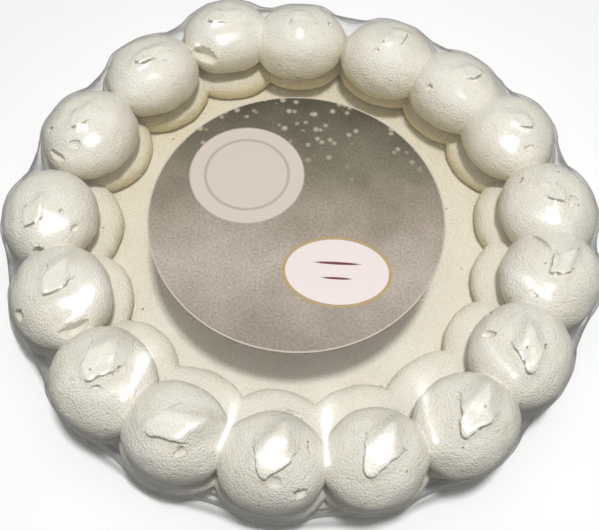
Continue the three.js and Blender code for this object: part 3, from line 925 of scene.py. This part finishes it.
def printed_card():
    """Offset-printed board: satin, fields of colour and simple shapes."""
    material = bpy.data.materials.new("offset_printed_board")
    material.use_nodes = True
    tree = material.node_tree
    surface = tree.nodes["Principled BSDF"]
    middle = RING_MIDDLE[:2] + CARD["centre"]
    radius = CARD["radius"] * MM
    place = add(tree, "ShaderNodeMapping", {
        "Vector": add(tree, "ShaderNodeTexCoord").outputs["Object"],
        "Location": (middle[0] * MM, middle[1] * MM, 0), "Scale": (radius, radius, radius),
    }, vector_type="TEXTURE").outputs[0]
    flat = vector_maths(tree, "MULTIPLY", place, (1, 1, 0))
    clouds = add(tree, "ShaderNodeTexNoise", {"Vector": flat, "Scale": CLOUDS, "Detail": 3})
    upward = add(tree, "ShaderNodeSeparateXYZ", {0: flat}).outputs["Y"]
    wander = maths(tree, "MULTIPLY_ADD", clouds.outputs["Fac"], 0.9, upward)
    field = add(tree, "ShaderNodeValToRGB", {0: remapped(tree, wander, -0.5, 1.4)})
    ramp = field.color_ramp.elements
    ramp[0].color, ramp[1].color = linear("#94887b"), linear("#514d3b")
    for position, shade in ((0.28, "#b8ac9e"), (0.5, "#9d9181"), (0.68, "#7f7866")):
        ramp.new(position).color = linear(shade)
    grain = add(tree, "ShaderNodeTexNoise", {"Vector": flat, "Scale": GRAINS, "Detail": 2})
    brightness = remapped(tree, grain.outputs["Fac"], 0.3, 0.7, 0.78, 1.16)
    colour = vector_maths(tree, "SCALE", field.outputs["Color"], brightness)
    dots = add(tree, "ShaderNodeTexVoronoi", {"Vector": flat, "Scale": DOTS, "Randomness": 0.9})
    confetti = maths(
        tree, "MULTIPLY", remapped(tree, dots.outputs["Distance"], 0.16, 0.34, 0.75, 0),
        remapped(tree, wander, 0.78, 1.05))
    # From the lowest to the topmost: a colour, and where it lies in shares of the card's radius.
    layers = [
        ("#c3bba3", confetti),
        ("#d3c7bb", shape_mask(tree, flat, (-0.36, 0.30), (0.40, 0.40), soft=0.03)),
        ("#b9ad9d", shape_mask(tree, flat, (-0.36, 0.30), (0.30, 0.30), inside=0.93)),
        ("#ebdedb", shape_mask(tree, flat, (0.28, -0.42), (0.34, 0.24))),
        ("#b79a5f", shape_mask(tree, flat, (0.28, -0.42), (0.36, 0.26), inside=0.95)),
        ("#6d2b30", shape_mask(tree, flat, (0.28, -0.36), (0.17, 0.012), soft=0.3)),
        ("#6d2b30", shape_mask(tree, flat, (0.28, -0.47), (0.11, 0.010), soft=0.3)),
        ("#c6bdb1", shape_mask(tree, flat, (0, 0), (1.02, 1.02), inside=0.972, soft=0.004)),
    ]
    for shade, mask in layers:
        colour = mixed(tree, mask, colour, linear(shade))
    tree.links.new(colour, surface.inputs["Base Color"])
    surface.inputs["Roughness"].default_value = 0.5
    return material


CARD_PRINT = printed_card()
print("made", CARD_PRINT.name)

# %% The card
def card_profile(rings=24, edge=0.12):
    """A flat round board with slightly rounded edges, as a profile turned round its middle."""
    radius, low = CARD["radius"], CARD["bottom"]
    high = low + CARD["thickness"]
    spokes = np.linspace(0, radius - edge, rings)
    profile = [(r, low) for r in spokes] + [(radius, low + edge), (radius, high - edge)]
    return profile + [(r, high) for r in spokes[::-1]]


card = turned("card_printed", card_profile(), 180, CARD["centre"])
card.data.materials.append(CARD_PRINT)
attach(card, "root")
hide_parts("card")
print("card:", len(card.data.polygons), "faces")

# %% [markdown]
# ## Floor, light and camera
#
# A pale floor, one smallish lamp nearly overhead, whose reflections show how the film is folded, and
# a wide soft light above that fills the shadows. The floor looks white but throws little light back,
# so the mounds' near sides stay in half shade.

# %% Floor
FLOOR_REACH = 3.0
FLOOR_SEEN, FLOOR_BOUNCE = "#ffffff", "#8c8c8a"
corners = [(x * FLOOR_REACH, y * FLOOR_REACH, 0) for x, y in ((-1, -1), (1, -1), (1, 1), (-1, 1))]
floor_mesh = bpy.data.meshes.new("floor")
floor_mesh.from_pydata(corners, [], [(0, 1, 2, 3)])
floor = bpy.data.objects.new("floor", floor_mesh)
bpy.context.scene.collection.objects.link(floor)
floor_paint = bpy.data.materials.new("matt_white_floor")
floor_paint.use_nodes = True
floor_surface = floor_paint.node_tree.nodes["Principled BSDF"]
floor_surface.inputs["Roughness"].default_value = 0.95
seen = add(floor_paint.node_tree, "ShaderNodeLightPath").outputs["Is Camera Ray"]
floor_colour = mixed(floor_paint.node_tree, seen, linear(FLOOR_BOUNCE), linear(FLOOR_SEEN))
floor_paint.node_tree.links.new(floor_colour, floor_surface.inputs["Base Color"])
floor_mesh.materials.append(floor_paint)
print("made", floor_paint.name)

# %% Light
def soft_light(name, width, watts, distance, azimuth, elevation):
    """A square light that looks at the nest from a compass angle and an elevation."""
    light = bpy.data.lights.new(name, "AREA")
    light.shape, light.size, light.energy = "SQUARE", width, watts
    lamp = bpy.data.objects.new(name, light)
    side = polar(azimuth, math.cos(math.radians(elevation)), math.sin(math.radians(elevation)))
    lamp.location = Vector(side) * distance
    lamp.rotation_euler = Vector(side).to_track_quat("Z", "Y").to_euler()
    bpy.context.scene.collection.objects.link(lamp)
    print("light:", name, "of", watts, "watts")


soft_light("lamp", width=0.12, watts=8.5, distance=1.1, azimuth=-62, elevation=84)
soft_light("soft_ceiling", width=1.6, watts=5.1, distance=1.2, azimuth=90, elevation=90)
world = bpy.data.worlds.new("studio")
bpy.context.scene.world = world
world.use_nodes = True
world.node_tree.nodes["Background"].inputs["Color"].default_value = linear("#f6f5f2")
world.node_tree.nodes["Background"].inputs["Strength"].default_value = 0.06
bpy.context.scene.view_settings.view_transform = "Standard"

# %% Camera
# Fitted to the photo: its place in millimetres from the ring's middle, and its angles in degrees.
CAMERA_FROM = (0.5, -169.0, 314.5)
CAMERA_DOWN = 61.98
CAMERA_ROLL = 3.15
LENS_MM = 48.1

camera = bpy.data.objects.new("camera", bpy.data.cameras.new("camera"))
bpy.context.scene.collection.objects.link(camera)
camera.data.lens, camera.data.sensor_width = LENS_MM, 36.0
camera.data.clip_start = 0.01
camera.location = in_frame(CAMERA_FROM)
camera.rotation_euler = (
    Matrix.Rotation(math.radians(90 - CAMERA_DOWN), 4, "X")
    @ Matrix.Rotation(math.radians(CAMERA_ROLL), 4, "Z")
).to_euler()
bpy.context.scene.camera = camera
print("camera", [round(c, 3) for c in camera.location])

# %% Finish
bpy.context.view_layer.update()
